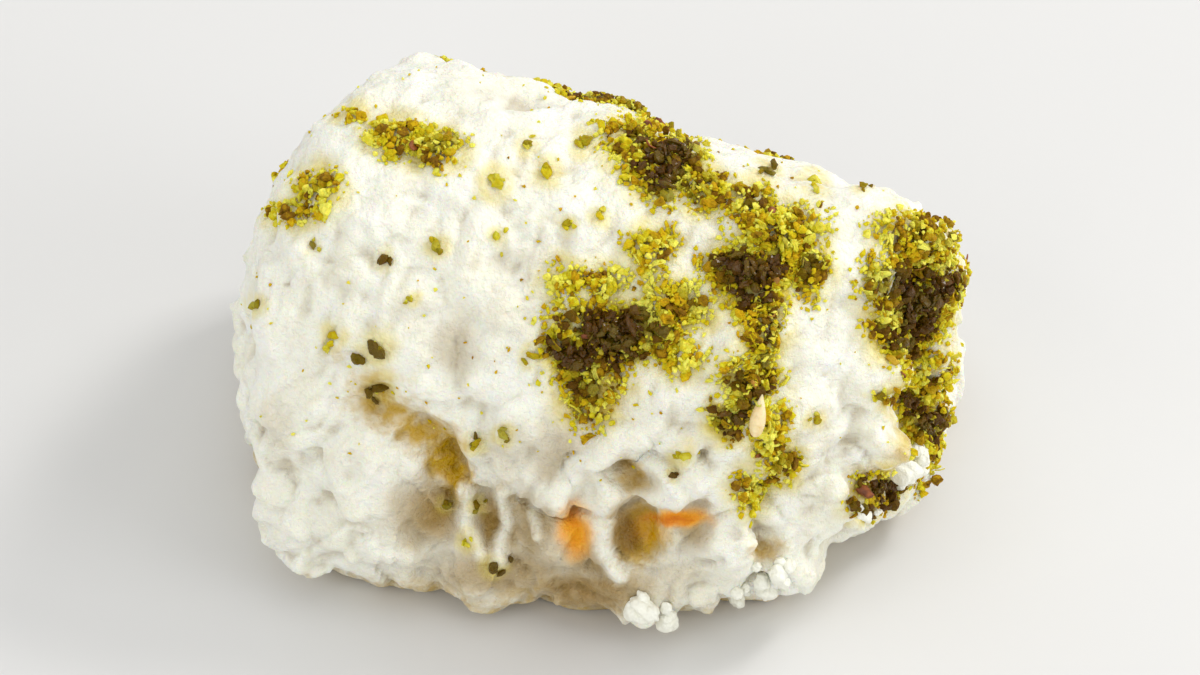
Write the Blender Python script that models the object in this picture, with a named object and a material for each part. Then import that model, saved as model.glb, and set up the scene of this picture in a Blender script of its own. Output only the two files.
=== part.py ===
"""One broken piece of feta cheese with dried herbs on it, resting on its flat cut face.

Metres, +Z up, the origin at the middle of the base. The front faces -Y. Places on the
front are given as they look from a raised viewpoint in front of the piece: millimetres
to the right of the middle and millimetres up, seen along the sight line.
"""

import math
import random

import bmesh
import bpy
import numpy as np
from mathutils import Quaternion, Vector, noise

MM = 0.001

# The sight line that the front places are given along, above the horizon.
SIGHT_TILT = math.radians(42)
SIGHT_START = 60  # millimetres from the middle, well outside the piece

# The bare block: a flat broken or cut side each, all rounded into one another.
# Turn to the right of the front, tilt above the horizon, in degrees, and the
# distance from the heart of the block, in millimetres.
HEART = (0.1, 1.3, 16.0)
SIDES = (
    (-10, 8, 20.5),
    (-6, 44, 19.8),
    (36, 14, 24.8),
    (84, -4, 28.0),
    (106, 18, 28.8),
    (-83, -6, 28.0),
    (-102, 14, 27.2),
    (-50, 44, 27.5),
    (155, 45, 13.2),
    (-129, 35, 24.0),
    (178, 4, 20.6),
    (124, 10, 26.0),
    (-136, 4, 28.6),
    (20, 82, 18.8),
    (-10, -42, 24.7),
    (34, -38, 26.6),
    (66, -24, 29.8),
    (180, -42, 24.5),
)
ROUNDING = 14  # a higher power gives sharper edges between the sides

# Bulges and hollows of the front: right, up, radius, height, in millimetres.
BULGES = (
    (-20.5, -6.0, 5.4, 2.0),
    (-17.4, -1.2, 3.0, 1.6),
    (-6.0, 2.4, 2.0, 1.2),
    (4.6, 4.4, 2.2, 1.0),
    (9.0, 8.8, 2.6, 1.6),
    (20.9, 6.0, 2.2, 2.0),
    (21.2, 1.8, 2.2, 1.9),
    (22.0, 19.8, 3.0, 3.2),
    (9.6, -6.4, 2.4, 1.2),
    (14.4, -8.2, 2.4, 1.3),
    (3.3, -11.0, 2.2, 1.8),
    (20.4, -4.6, 1.6, 1.0),
    (-8.0, -9.6, 3.6, 1.2),
    (-22.6, 26.2, 2.4, 0.9),
)
HOLLOWS = (
    (-17.0, 4.2, 1.9, 1.5),
    (-14.8, 2.4, 1.9, 1.7),
    (-12.6, 0.9, 1.8, 2.0),
    (-11.2, -1.2, 1.7, 2.4),
    (-13.2, -4.6, 2.2, 2.4),
    (-8.6, -5.2, 2.2, 2.6),
    (-5.2, -5.4, 2.0, 2.4),
    (-2.0, -5.7, 1.9, 3.0),
    (2.6, -1.2, 2.2, 2.8),
    (2.6, -6.0, 2.5, 3.4),
    (6.6, -5.0, 1.8, 2.0),
    (-1.4, 4.6, 2.6, 1.8),
    (12.7, -6.8, 1.6, 2.0),
    (24.4, 13.4, 2.6, 2.4),
    (24.6, 9.2, 2.6, 3.0),
    (24.4, 5.2, 2.4, 3.0),
    (24.2, 1.4, 2.2, 2.6),
    (21.0, -2.8, 1.8, 1.8),
    (16.8, 22.4, 2.6, 2.4),
    (-6.4, 28.2, 3.2, 2.4),
    (-1.6, 27.4, 3.4, 1.5),
    (-25.6, -3.6, 2.8, 1.8),
    (0.6, 9.8, 3.0, 1.1),
    (-24.0, -1.0, 2.0, 1.2),
)
SPOT_REACH = 1.5  # a spot fades out at this many of its radii

# Heaps of damp herbs: right, up, radius, thickness, in millimetres.
HEAPS = (
    (-14.4, 23.8, 3.2, 0.8),
    (-21.9, 20.5, 2.8, 0.7),
    (4.2, 22.4, 4.4, 1.6),
    (12.8, 15.2, 4.4, 1.8),
    (0.6, 9.4, 4.6, 1.7),
    (4.2, 15.4, 2.4, 1.0),
    (12.2, 7.6, 3.2, 1.4),
    (12.4, 1.6, 3.0, 1.2),
    (24.4, 13.0, 4.4, 1.8),
    (24.2, 2.6, 3.6, 1.5),
    (-0.2, 5.0, 2.6, 0.7),
)

# Curd relief: lumps that the cheese broke along, coarse and fine.
LUMP_SIZE = 6.5
LUMP_HEIGHT = 2.2
CURD_SIZE = 3.0
CURD_HEIGHT = 0.9
LUMP_FALL = 1.4  # how far a lump falls away towards its creases
CALM_ABOVE = 24.0  # above this height the surface is smoother
CRAGGY_BELOW = 13.0
CALM_SHARE = 0.45

SPHERE_LEVEL = 6
KEPT_FACES = 0.30  # share of the faces that the smooth stretches need

CRUMB_COUNT = 150
CRUMB_SIZE = (1.1, 2.1)  # of a herb crumb, in millimetres
CRUMB_SPREAD = 1.2  # how far crumbs lie from a heap's middle, in its radii
CRUMB_RISE = 0.15  # share of its thickness that a crumb's middle stands proud
# Loose crumbs and sesame seeds beside the heaps: right, up, turn in degrees.
STRAY_CRUMBS = (
    (-16.5, 14.8, 10),
    (-16.9, 8.1, 70),
    (-16.6, 5.4, 0),
    (-12.2, 15.8, 40),
    (-9.6, 1.0, 20),
    (-7.6, 1.8, 90),
    (-26.3, 11.4, 60),
    (-7.9, 20.6, 30),
    (-4.0, 21.2, 0),
    (-1.2, 23.8, 60),
    (12.6, 21.6, 20),
    (16.3, 20.6, 80),
    (16.3, 2.8, 45),
    (6.2, 0.2, 10),
)
STRAY_SIZE = 1.4
SEEDS = ((11.9, 3.2, 80),)
SEED_LENGTH = 3.2
SEED_WIDTH = 1.7
SEED_THICKNESS = 1.1

FETA_COLOUR = (0.90, 0.87, 0.78, 1.0)


def direction(turn, tilt):
    """The unit vector at this turn to the right of the front and tilt above the horizon."""
    a, e = math.radians(turn), math.radians(tilt)
    return np.array((math.sin(a) * math.cos(e), -math.cos(a) * math.cos(e), math.sin(e)))


SIDE_PULLS = np.array([direction(turn, tilt) / reach for turn, tilt, reach in SIDES])
RIGHT = np.array((1.0, 0.0, 0.0))
UP = np.array((0.0, math.sin(SIGHT_TILT), math.cos(SIGHT_TILT)))
SIGHT = np.array((0.0, math.cos(SIGHT_TILT), -math.sin(SIGHT_TILT)))


def fullness(points):
    """Below 1 inside the bare block, 1 on its surface and above 1 outside. In millimetres."""
    shares = np.maximum((points - HEART) @ SIDE_PULLS.T, 0.0)
    return (shares**ROUNDING).sum(axis=-1) ** (1 / ROUNDING)


def front_place(right, up):
    """The point of the bare block that lies at this place, seen along the sight line."""
    near, far = -SIGHT_START, 0.0
    for _ in range(40):
        middle = (near + far) / 2
        if fullness(RIGHT * right + UP * up + SIGHT * middle) > 1:
            near = middle
        else:
            far = middle
    return RIGHT * right + UP * up + SIGHT * far


def dome(distance, radius):
    """1 at the middle of a spot, falling smoothly to 0 at its radius."""
    share = np.clip(1 - (distance / radius) ** 2, 0, None)
    return share * share


def spots(points, places):
    """The summed height of round spots, each given as right, up, radius and height."""
    height = np.zeros(len(points))
    for right, up, radius, rise in places:
        distance = np.linalg.norm(points - front_place(right, up), axis=1)
        height += rise * dome(distance, SPOT_REACH * radius)
    return height


def lumps(points, size, height):
    """Rounded lumps of about this size, with creases between them."""
    nearest = np.array([noise.voronoi(Vector(p / size))[0][0] for p in points])
    return height * (0.5 - LUMP_FALL * nearest * nearest)


def cragginess(points):
    """How strongly the curd shows: full near the base, less towards the top."""
    share = np.clip((points[:, 2] - CRAGGY_BELOW) / (CALM_ABOVE - CRAGGY_BELOW), 0, 1)
    return 1 - (1 - CALM_SHARE) * share * share * (3 - 2 * share)


def shaped(directions):
    """Points of the finished cheese, in millimetres, one for each direction from its heart."""
    reach = 1 / fullness(HEART + directions)
    points = HEART + directions * reach[:, None]
    height = spots(points, BULGES) - spots(points, HOLLOWS) + spots(points, HEAPS)
    rough = lumps(points, LUMP_SIZE, LUMP_HEIGHT) + lumps(points, CURD_SIZE, CURD_HEIGHT)
    return points + directions * (height + cragginess(points) * rough)[:, None]


def feta_material():
    material = bpy.data.materials.new("feta")
    material.use_nodes = True
    shader = material.node_tree.nodes["Principled BSDF"]
    shader.inputs["Base Color"].default_value = FETA_COLOUR
    shader.inputs["Roughness"].default_value = 0.6
    material.diffuse_color = FETA_COLOUR
    return material


def clear_scene():
    for thing in list(bpy.data.objects):
        bpy.data.objects.remove(thing)


def new_collection(name):
    collection = bpy.data.collections.new(name)
    bpy.context.scene.collection.children.link(collection)
    return collection


def move_to(collection, thing):
    for holder in list(thing.users_collection):
        holder.objects.unlink(thing)
    collection.objects.link(thing)


def cut_base(cheese):
    """Cuts the piece flat at the height of its base and closes the cut."""
    mesh = bmesh.new()
    mesh.from_mesh(cheese.data)
    everything = mesh.verts[:] + mesh.edges[:] + mesh.faces[:]
    cut = bmesh.ops.bisect_plane(
        mesh, geom=everything, plane_co=(0, 0, 0), plane_no=(0, 0, 1), clear_inner=True
    )
    rim = [edge for edge in cut["geom_cut"] if isinstance(edge, bmesh.types.BMEdge)]
    bmesh.ops.holes_fill(mesh, edges=rim)
    bmesh.ops.triangulate(mesh, faces=mesh.faces[:])
    mesh.to_mesh(cheese.data)
    mesh.free()


def make_cheese(collection):
    """The broken piece on its flat base, with few faces where it is smooth."""
    bpy.ops.mesh.primitive_ico_sphere_add(subdivisions=SPHERE_LEVEL, radius=1)
    cheese = bpy.context.object
    cheese.name = "feta"
    move_to(collection, cheese)
    directions = np.array([v.co.normalized() for v in cheese.data.vertices])
    for vertex, point in zip(cheese.data.vertices, shaped(directions)):
        vertex.co = Vector(point) * MM
    decimate = cheese.modifiers.new("fewer faces", "DECIMATE")
    decimate.ratio = KEPT_FACES
    bpy.ops.object.modifier_apply(modifier=decimate.name)
    cut_base(cheese)
    cheese.data.materials.append(feta_material())
    return cheese


def add_crumb(collection, cheese, place, sizes, turn):
    """A small rounded crumb of these three sizes, half sunk where the sight line meets it."""
    start = Vector(RIGHT * place[0] + UP * place[1] - SIGHT * SIGHT_START) * MM
    found, where, normal, _ = cheese.ray_cast(start, Vector(SIGHT))
    if not found or where.z < sizes[0] * MM:
        return
    bpy.ops.mesh.primitive_ico_sphere_add(subdivisions=1, radius=0.5)
    crumb = bpy.context.object
    crumb.name = "crumb"
    crumb.scale = Vector(sizes) * MM
    crumb.rotation_mode = "QUATERNION"
    crumb.rotation_quaternion = normal.to_track_quat("Z", "Y") @ Quaternion((0, 0, 1), turn)
    crumb.location = where + normal * sizes[2] * CRUMB_RISE * MM
    move_to(collection, crumb)


def make_crumbs(collection, cheese):
    """Herb crumbs on the heaps, the most on the largest, then the strays and the seeds."""
    draw = random.Random(7)
    weights = [radius * radius for _, _, radius, _ in HEAPS]
    for _ in range(CRUMB_COUNT):
        right, up, radius, _ = draw.choices(HEAPS, weights)[0]
        angle = draw.uniform(0, 2 * math.pi)
        away = radius * CRUMB_SPREAD * math.sqrt(draw.random())
        size = draw.uniform(*CRUMB_SIZE)
        sizes = (size, size * draw.uniform(0.6, 0.9), size * 0.8)
        place = (right + away * math.cos(angle), up + away * math.sin(angle))
        add_crumb(collection, cheese, place, sizes, draw.uniform(0, math.pi))
    for right, up, turn in STRAY_CRUMBS:
        sizes = (STRAY_SIZE, STRAY_SIZE * 0.8, STRAY_SIZE * 0.8)
        add_crumb(collection, cheese, (right, up), sizes, math.radians(turn))
    for right, up, turn in SEEDS:
        sizes = (SEED_LENGTH, SEED_WIDTH, SEED_THICKNESS)
        add_crumb(collection, cheese, (right, up), sizes, math.radians(turn))


def join_crumbs(crumbs, cheese):
    """One solid of the cheese and its crumbs."""
    join = cheese.modifiers.new("join the crumbs", "BOOLEAN")
    join.operation = "UNION"
    join.operand_type = "COLLECTION"
    join.collection = crumbs
    join.solver = "MANIFOLD"
    bpy.context.view_layer.objects.active = cheese
    bpy.ops.object.modifier_apply(modifier=join.name)
    for crumb in list(crumbs.objects):
        bpy.data.objects.remove(crumb)
    bpy.data.collections.remove(crumbs)


def keep_outer_shell(cheese):
    """Fills the hollows sealed between crumbs, and drops any crumb that touches nothing."""
    mesh = bmesh.new()
    mesh.from_mesh(cheese.data)
    waiting = set(mesh.verts)
    shells = []
    while waiting:
        reached = [waiting.pop()]
        shells.append(reached)
        for vertex in reached:
            for edge in vertex.link_edges:
                other = edge.other_vert(vertex)
                if other in waiting:
                    waiting.remove(other)
                    reached.append(other)
    shells.sort(key=len)
    for shell in shells[:-1]:
        bmesh.ops.delete(mesh, geom=shell, context="VERTS")
    mesh.to_mesh(cheese.data)
    mesh.free()


def main():
    clear_scene()
    parts = new_collection("feta cheese")
    crumbs = new_collection("crumbs")
    cheese = make_cheese(parts)
    bpy.context.view_layer.update()
    make_crumbs(crumbs, cheese)
    join_crumbs(crumbs, cheese)
    keep_outer_shell(cheese)


main()
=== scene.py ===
"""Adds one broken piece of feta cheese with dried herbs on it, ready to render.

Lengths in the tables are millimetres. Places on the front are given as they look from
the raised viewpoint in front of the piece: millimetres to the right of the middle and
millimetres up, seen along the sight line. The front faces -Y and the base lies on z = 0.
"""

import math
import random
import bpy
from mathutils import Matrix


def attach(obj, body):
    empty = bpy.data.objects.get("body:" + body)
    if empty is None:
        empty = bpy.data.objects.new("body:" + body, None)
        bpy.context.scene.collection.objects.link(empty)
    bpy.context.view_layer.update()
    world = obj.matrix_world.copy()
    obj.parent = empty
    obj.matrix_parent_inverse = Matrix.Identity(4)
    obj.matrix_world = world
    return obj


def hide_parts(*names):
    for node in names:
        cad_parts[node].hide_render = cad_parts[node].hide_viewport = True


bl_info = {
    "name": "Feta Cheese Piece",
    "version": (1, 0, 0),
    "blender": (4, 5, 0),
    "location": "3D View > Sidebar > Feta",
    "description": "Adds a broken piece of feta cheese with dried herbs and a pale stage",
    "category": "Add Mesh",
}

from typing import Callable, NamedTuple

import bpy
import numpy as np
from mathutils import Matrix, Quaternion, Vector, noise
from mathutils.bvhtree import BVHTree

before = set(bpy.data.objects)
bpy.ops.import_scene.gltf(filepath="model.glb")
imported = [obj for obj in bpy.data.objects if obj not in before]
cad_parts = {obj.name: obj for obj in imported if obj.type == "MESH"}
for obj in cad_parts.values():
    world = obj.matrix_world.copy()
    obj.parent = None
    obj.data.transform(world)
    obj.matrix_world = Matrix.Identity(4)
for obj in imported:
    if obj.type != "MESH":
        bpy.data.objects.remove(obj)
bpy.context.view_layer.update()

MM = 0.001
AIM = Vector((0.0, 0.0, 12.2)) * MM  # where the camera and the lights point
SENSOR_WIDTH = 36.0
NEAREST_SEEN = 0.01

# Lights in metres: name, place, size, the setting with its power, share of it, tone.
LIGHTS = (
    ("key", (0.46, 0.22, 0.54), 0.20, "key_power", 1.0, (1.0, 0.98, 0.95)),
    ("fill", (-0.42, -0.52, 0.42), 0.60, "fill_power", 1.0, (1.0, 0.995, 0.98)),
    ("side", (0.55, -0.28, 0.30), 0.40, "fill_power", 0.8, (1.0, 0.995, 0.98)),
    ("top", (0.0, 0.02, 0.75), 0.50, "fill_power", 0.35, (1.0, 1.0, 1.0)),
)
SKY_TONE = (1.0, 0.995, 0.975)
FLOOR_SIZE = 6
FLOOR_DROP = 0.0002  # the floor lies this far under the base

# The sight line that the front places are given along, above the horizon.
SIGHT_TILT = math.radians(42)
SIGHT_START = 60  # how far outside the middle a sight line starts
RIGHT = np.array((1.0, 0.0, 0.0))
UP = np.array((0.0, math.sin(SIGHT_TILT), math.cos(SIGHT_TILT)))
SIGHT = np.array((0.0, math.cos(SIGHT_TILT), -math.sin(SIGHT_TILT)))

# The bare block: turn to the right of the front, tilt above the horizon, in degrees,
# and the distance of each broken or cut side from the heart of the block.
HEART = np.array((0.1, 1.3, 16.0))
SIDES = (
    (-10, 8, 20.5),
    (-6, 44, 19.8),
    (36, 14, 24.8),
    (84, -4, 28.0),
    (106, 18, 28.8),
    (-83, -6, 28.0),
    (-102, 14, 27.2),
    (-50, 44, 27.5),
    (155, 45, 13.2),
    (-129, 35, 24.0),
    (178, 4, 20.6),
    (124, 10, 26.0),
    (-136, 4, 28.6),
    (20, 82, 18.8),
    (-10, -42, 24.7),
    (34, -38, 26.6),
    (66, -24, 29.8),
    (180, -42, 24.5),
)
ROUNDING = 14  # a higher power gives sharper edges between the sides

# Bulges and hollows of the front: right, up, radius, height.
BULGES = (
    (-20.5, -6.0, 5.4, 2.0),
    (-17.4, -1.2, 3.0, 1.6),
    (-6.0, 2.4, 2.0, 1.2),
    (4.6, 4.4, 2.2, 1.0),
    (9.0, 8.8, 2.6, 1.6),
    (20.9, 6.0, 2.2, 2.0),
    (21.2, 1.8, 2.2, 1.9),
    (22.0, 19.8, 3.0, 3.2),
    (9.6, -6.4, 2.4, 1.2),
    (14.4, -8.2, 2.4, 1.3),
    (3.3, -11.0, 2.2, 1.8),
    (20.4, -4.6, 1.6, 1.0),
    (-8.0, -9.6, 3.6, 1.2),
    (-22.6, 26.2, 2.4, 0.9),
)
HOLLOWS = (
    (-17.0, 4.2, 1.9, 1.5),
    (-14.8, 2.4, 1.9, 1.7),
    (-12.6, 0.9, 1.8, 2.0),
    (-11.2, -1.2, 1.7, 2.4),
    (-13.2, -4.6, 2.2, 2.4),
    (-8.6, -5.2, 2.2, 2.6),
    (-5.2, -5.4, 2.0, 2.4),
    (-2.0, -5.7, 1.9, 3.0),
    (2.6, -1.2, 2.2, 2.8),
    (2.6, -6.0, 2.5, 3.4),
    (6.6, -5.0, 1.8, 2.0),
    (-1.4, 4.6, 2.6, 1.8),
    (12.7, -6.8, 1.6, 2.0),
    (24.4, 13.4, 2.6, 2.4),
    (24.6, 9.2, 2.6, 3.0),
    (24.4, 5.2, 2.4, 3.0),
    (24.2, 1.4, 2.2, 2.6),
    (21.0, -2.8, 1.8, 1.8),
    (16.8, 22.4, 2.6, 2.4),
    (-6.4, 28.2, 3.2, 2.4),
    (-1.6, 27.4, 3.4, 1.5),
    (-25.6, -3.6, 2.8, 1.8),
    (0.6, 9.8, 3.0, 1.1),
    (-24.0, -1.0, 2.0, 1.2),
)
SPOT_REACH = 1.5  # a spot fades out at this many of its radii

# Thin webs of curd that stand in the hollows: width, height, then right, up of each bend.
WEBS = (
    (0.60, 1.1, ((-3.4, -3.4), (-1.6, -0.8), (1.2, 1.1), (4.4, 1.6), (6.6, 0.6), (7.4, -2.2))),
    (0.50, 0.8, ((0.5, -2.6), (0.0, -5.0), (0.4, -7.2), (1.4, -8.9))),
    (0.40, 0.5, ((-7.6, -2.8), (-7.2, -5.0), (-7.7, -7.9))),
    (0.35, 0.4, ((-4.4, -2.4), (-5.0, -4.2), (-4.7, -6.0))),
    (0.45, 0.7, ((3.0, 0.6), (5.0, -1.6), (5.6, -3.4))),
    (0.45, 0.5, ((-10.6, -2.8), (-10.2, -5.2), (-9.2, -7.4))),
)
WEB_WANDER = 0.55  # how far the webs stray from their straight lines
WEB_WANDER_SIZE = 2.2  # width of the waves in which they stray
WEB_REACH = 2.2  # a web fades out at this many of its widths

# Lumps of curd. Between these heights the surface grows smoother upwards.
LUMP_SIZE = 6.5
LUMP_HEIGHT = 2.2
CURD_SIZE = 3.0
CURD_HEIGHT = 0.9
LUMP_FALL = 1.4  # how far a lump falls away towards its creases
CRAGGY_BELOW = 13.0
CALM_ABOVE = 24.0
CALM_SHARE = 0.45  # of the cragginess that is left at the top

# Fine relief. Sizes are millimetres, shares are of the main granules or of all cells.
FINE_GRANULE_SIZE = 0.55
FINE_GRANULE_HEIGHT = 0.4
BROKEN_SIZE = 5.0
LEDGE_SIZE = 5.0
LEDGE_STEPS = 2.0
PORE_SHARE = 0.34
PORE_RADIUS = 0.27  # of the cell's size
PORE_SPREAD = 0.12
DIMPLE_SIZE = 2.6
GRAIN_SIZES = (0.9, 0.5)
CRAG_SIZES = (4.2, 1.9)
FINE_CRAG_SHARE = 0.4
GROOVE_SLANT = 0.25
GROOVE_WANDER = 1.6
GROOVE_SIZES = (1.1, 3.4, 5.0)  # across, along and into the face

# Averaging rounds that tell fine creases and broad recesses from their surroundings.
CREASE_ROUNDS = 14
RECESS_ROUNDS = 150
PATCH_WANDER = 0.45  # how far the edge of a colour patch strays
PATCH_WANDER_SIZE = 1.6
PATCH_END = 1.4  # a patch has faded out at this many of its half sizes

# Where oil has soaked in, right, up, half width, half height, strength.
OIL_STAINS = (
    (-17.2, 4.6, 2.6, 2.4, 0.62),
    (-15.4, 3.0, 2.4, 1.8, 0.75),
    (-13.6, 1.8, 2.4, 1.8, 0.85),
    (-12.0, 0.2, 2.2, 2.6, 0.95),
    (-11.0, -1.8, 1.5, 2.3, 1.0),
    (-20.2, 7.6, 1.4, 1.2, 0.35),
    (-7.4, -4.6, 3.0, 3.0, 0.25),
    (2.6, -1.4, 1.9, 1.9, 0.60),
    (-0.2, 4.6, 2.4, 3.0, 0.45),
    (2.9, -6.0, 2.6, 2.7, 0.95),
    (12.6, -7.0, 1.8, 1.2, 0.62),
    (6.3, 0.4, 1.5, 1.1, 0.42),
    (-2.0, -11.0, 7.5, 1.9, 0.50),
    (-14.0, -10.6, 5.0, 1.3, 0.5),
    (24.6, 0.6, 3.0, 5.0, 0.55),
    (20.6, -2.4, 2.0, 1.4, 0.8),
)
# Warm shade in the recesses of the front, in the same way.
SHADES = (
    (-10.8, 8.6, 1.9, 2.8, 0.48),
    (-13.4, 11.0, 1.4, 2.2, 0.20),
    (-7.6, 11.6, 1.0, 3.2, 0.18),
    (-5.6, 12.6, 2.4, 4.0, 0.16),
    (-12.8, -4.4, 3.6, 3.2, 1.00),
    (-8.2, -5.4, 3.0, 3.6, 1.00),
    (-5.0, -5.4, 2.4, 3.4, 0.95),
    (-3.0, -0.6, 2.4, 4.0, 0.66),
    (-6.6, 0.6, 2.4, 2.6, 0.34),
    (-0.5, -7.8, 3.4, 2.8, 0.90),
    (-7.4, -9.0, 7.0, 2.4, 0.92),
    (5.4, -8.8, 3.4, 1.4, 0.40),
    (2.6, -1.2, 2.2, 2.2, 0.72),
    (6.2, 0.4, 1.3, 1.3, 0.60),
    (1.7, -6.0, 2.2, 2.9, 1.00),
    (4.6, -6.4, 1.8, 2.4, 0.45),
    (7.0, -5.4, 1.7, 1.9, 0.90),
    (12.6, -7.4, 1.4, 0.9, 0.30),
    (-1.0, -10.4, 6.5, 2.2, 1.00),
    (-1.0, 4.8, 2.6, 3.4, 0.55),
    (19.6, 12.4, 1.0, 4.0, 0.14),
    (16.8, 2.0, 1.2, 2.4, 0.16),
    (-24.6, 2.0, 1.6, 3.0, 0.25),
)
ORANGE_MARKS = (
    (-1.9, -5.6, 1.5, 2.4, 1.0),
    (6.2, -4.7, 2.6, 0.8, 1.0),
    (3.6, -5.6, 1.8, 1.4, 0.40),
)
# The darkest, rust-brown lines in the same places.
RUST_MARKS = (
    (5.6, -4.8, 2.2, 0.42, 1.0),
    (-1.9, -5.0, 0.4, 0.9, 0.35),
)

# Herb heaps on the front: right, up, half width, half height, thickness, wetness.
FRONT_HEAPS = (
    (-15.5, 24.2, 2.2, 1.3, 0.7, 0.15),
    (-12.4, 23.4, 1.8, 1.3, 0.8, 0.40),
    (-21.4, 20.2, 1.6, 1.6, 0.5, 0.30),
    (-23.6, 18.6, 2.0, 0.8, 0.4, 0.10),
    (-18.9, 26.0, 1.2, 0.5, 0.3, 0.10),
    (3.4, 23.6, 2.9, 2.4, 1.0, 0.40),
    (4.8, 22.0, 2.5, 2.2, 1.6, 0.95),
    (7.8, 20.2, 1.6, 1.4, 0.9, 0.45),
    (11.0, 19.2, 1.6, 1.3, 0.9, 0.40),
    (13.4, 16.6, 2.8, 2.4, 1.4, 0.40),
    (11.4, 13.6, 2.9, 2.3, 1.6, 0.95),
    (15.6, 14.2, 1.5, 1.9, 0.9, 0.55),
    (12.2, 9.6, 1.5, 2.4, 1.0, 0.50),
    (11.2, 5.6, 2.0, 2.2, 1.1, 0.60),
    (9.8, 3.0, 1.4, 1.4, 0.8, 0.80),
    (12.8, 1.6, 1.3, 2.4, 0.8, 0.30),
    (13.8, -0.6, 1.2, 1.2, 0.7, 0.60),
    (11.2, -2.6, 1.2, 1.4, 0.6, 0.20),
    (1.2, 9.4, 4.0, 2.1, 1.7, 1.00),
    (-1.6, 8.0, 2.2, 1.7, 1.2, 1.00),
    (-2.6, 13.2, 1.4, 1.5, 0.5, 0.10),
    (0.4, 13.0, 1.5, 1.2, 0.6, 0.10),
    (3.9, 15.6, 1.6, 1.6, 0.8, 0.35),
    (5.4, 11.2, 2.2, 2.0, 0.9, 0.40),
    (7.4, 10.8, 1.2, 0.8, 0.5, 0.20),
    (-0.6, 5.2, 2.3, 2.4, 0.5, 0.55),
    (6.0, 7.6, 1.6, 1.2, 0.5, 0.10),
    (24.6, 16.4, 3.2, 2.2, 1.1, 0.45),
    (24.0, 12.2, 3.4, 3.0, 1.6, 0.95),
    (23.2, 9.2, 2.6, 1.6, 1.2, 0.70),
    (25.2, 6.0, 2.0, 1.6, 1.0, 0.40),
    (23.8, 4.3, 2.2, 0.8, 0.9, 0.80),
    (25.2, 2.4, 1.8, 2.0, 1.1, 0.75),
    (25.6, -0.6, 1.6, 2.4, 0.8, 0.25),
    (21.8, -2.6, 1.9, 1.4, 0.8, 0.90),
    (20.6, -4.0, 1.5, 0.8, 0.6, 0.80),
    (27.4, 18.4, 1.0, 1.2, 0.4, 0.10),
)
# Heaps on the other sides: turn, tilt, half width, half height, thickness, wetness.
HIDDEN_HEAPS = (
    (174, 54, 3.2, 2.6, 1.2, 0.70),
    (146, 44, 2.2, 1.6, 0.8, 0.30),
    (-166, 40, 2.0, 1.4, 0.7, 0.25),
    (168, 22, 2.8, 3.4, 1.0, 0.55),
    (-172, 4, 1.6, 2.2, 0.7, 0.30),
    (118, 24, 2.0, 2.6, 0.9, 0.45),
    (96, 2, 1.5, 2.4, 0.7, 0.35),
    (-112, 12, 2.4, 2.0, 0.9, 0.50),
    (-88, -8, 1.4, 1.8, 0.5, 0.20),
    (-138, 10, 1.8, 1.6, 0.7, 0.35),
    (-140, 34, 1.4, 1.0, 0.5, 0.15),
)
# Single crumbs on the front: right, up, size, wetness.
STRAY_CRUMBS = (
    (-16.4, 14.9, 1.1, 0.75),
    (-12.3, 15.8, 1.2, 0.60),
    (-16.9, 8.2, 1.9, 0.70),
    (-16.6, 5.4, 1.6, 0.75),
    (-9.5, 1.0, 1.2, 0.70),
    (-7.4, 1.8, 1.1, 0.60),
    (-11.7, -3.8, 0.9, 0.70),
    (-9.5, -3.8, 0.9, 0.70),
    (-8.2, -8.5, 1.3, 0.90),
    (-10.2, -6.7, 1.0, 0.40),
    (-26.3, 11.4, 1.1, 0.65),
    (-7.8, 16.7, 0.9, 0.55),
    (-2.5, 17.6, 1.0, 0.45),
    (0.0, 18.1, 1.0, 0.45),
    (-20.1, 9.2, 1.3, 0.45),
    (-5.1, 7.7, 1.1, 0.55),
    (-8.0, 20.8, 1.7, 0.50),
    (-4.0, 21.4, 1.5, 0.50),
    (-5.5, 23.7, 1.0, 0.45),
    (-1.1, 23.8, 1.5, 0.50),
    (12.6, 21.6, 1.6, 0.70),
    (16.3, 20.9, 1.5, 0.45),
    (19.9, 20.5, 0.9, 0.70),
    (16.3, 2.8, 1.0, 0.50),
    (6.2, 0.2, 1.3, 0.45),
    (5.5, -1.4, 0.7, 0.85),
    (-21.7, 16.0, 0.9, 0.55),
    (-14.3, 12.0, 0.7, 0.50),
)
# Sesame seeds: right, up, turn in degrees.
SESAME_SEEDS = ((11.9, 3.2, 80),)
SEED_SIZE = (3.3, 1.45, 0.8)
SEED_LIFT = 1.1  # the seeds lie on the crumbs, this far off the cheese

# Loose white crumbs that the piece shed: right, up, size.
WHITE_CRUMBS = (
    (3.2, -11.6, 3.2),
    (4.6, -12.4, 2.2),
    (12.2, -9.8, 2.8),
    (13.8, -9.0, 2.0),
    (10.4, -10.6, 1.8),
    (23.6, -1.2, 3.0),
    (24.6, 0.0, 2.2),
    (20.2, -4.6, 1.6),
)
CRUMB_LOBES = (0.85, 0.62, 0.5, 0.42)  # a crumb is a cluster of lobes, as shares of its size
CRUMB_LOOSENESS = 0.55

CLUSTER_SIZE = 1.5  # of the patches in a heap that are of one tone
CLUSTER_TONE = 0.8
SOAKED_FROM = 0.5  # crumbs at least this wet are a piece of their own
LOWEST_BIT = 0.8  # nothing in a heap lies lower than this
LOWEST_SPECK = 1.5

# Seeds of the random draws.
WHITE_CRUMB_DRAW = 31
HERB_CRUMB_DRAW = 52
LEAF_DRAW = 73
DUST_DRAW = 94
RED_FLAKE_DRAW = 115


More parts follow.
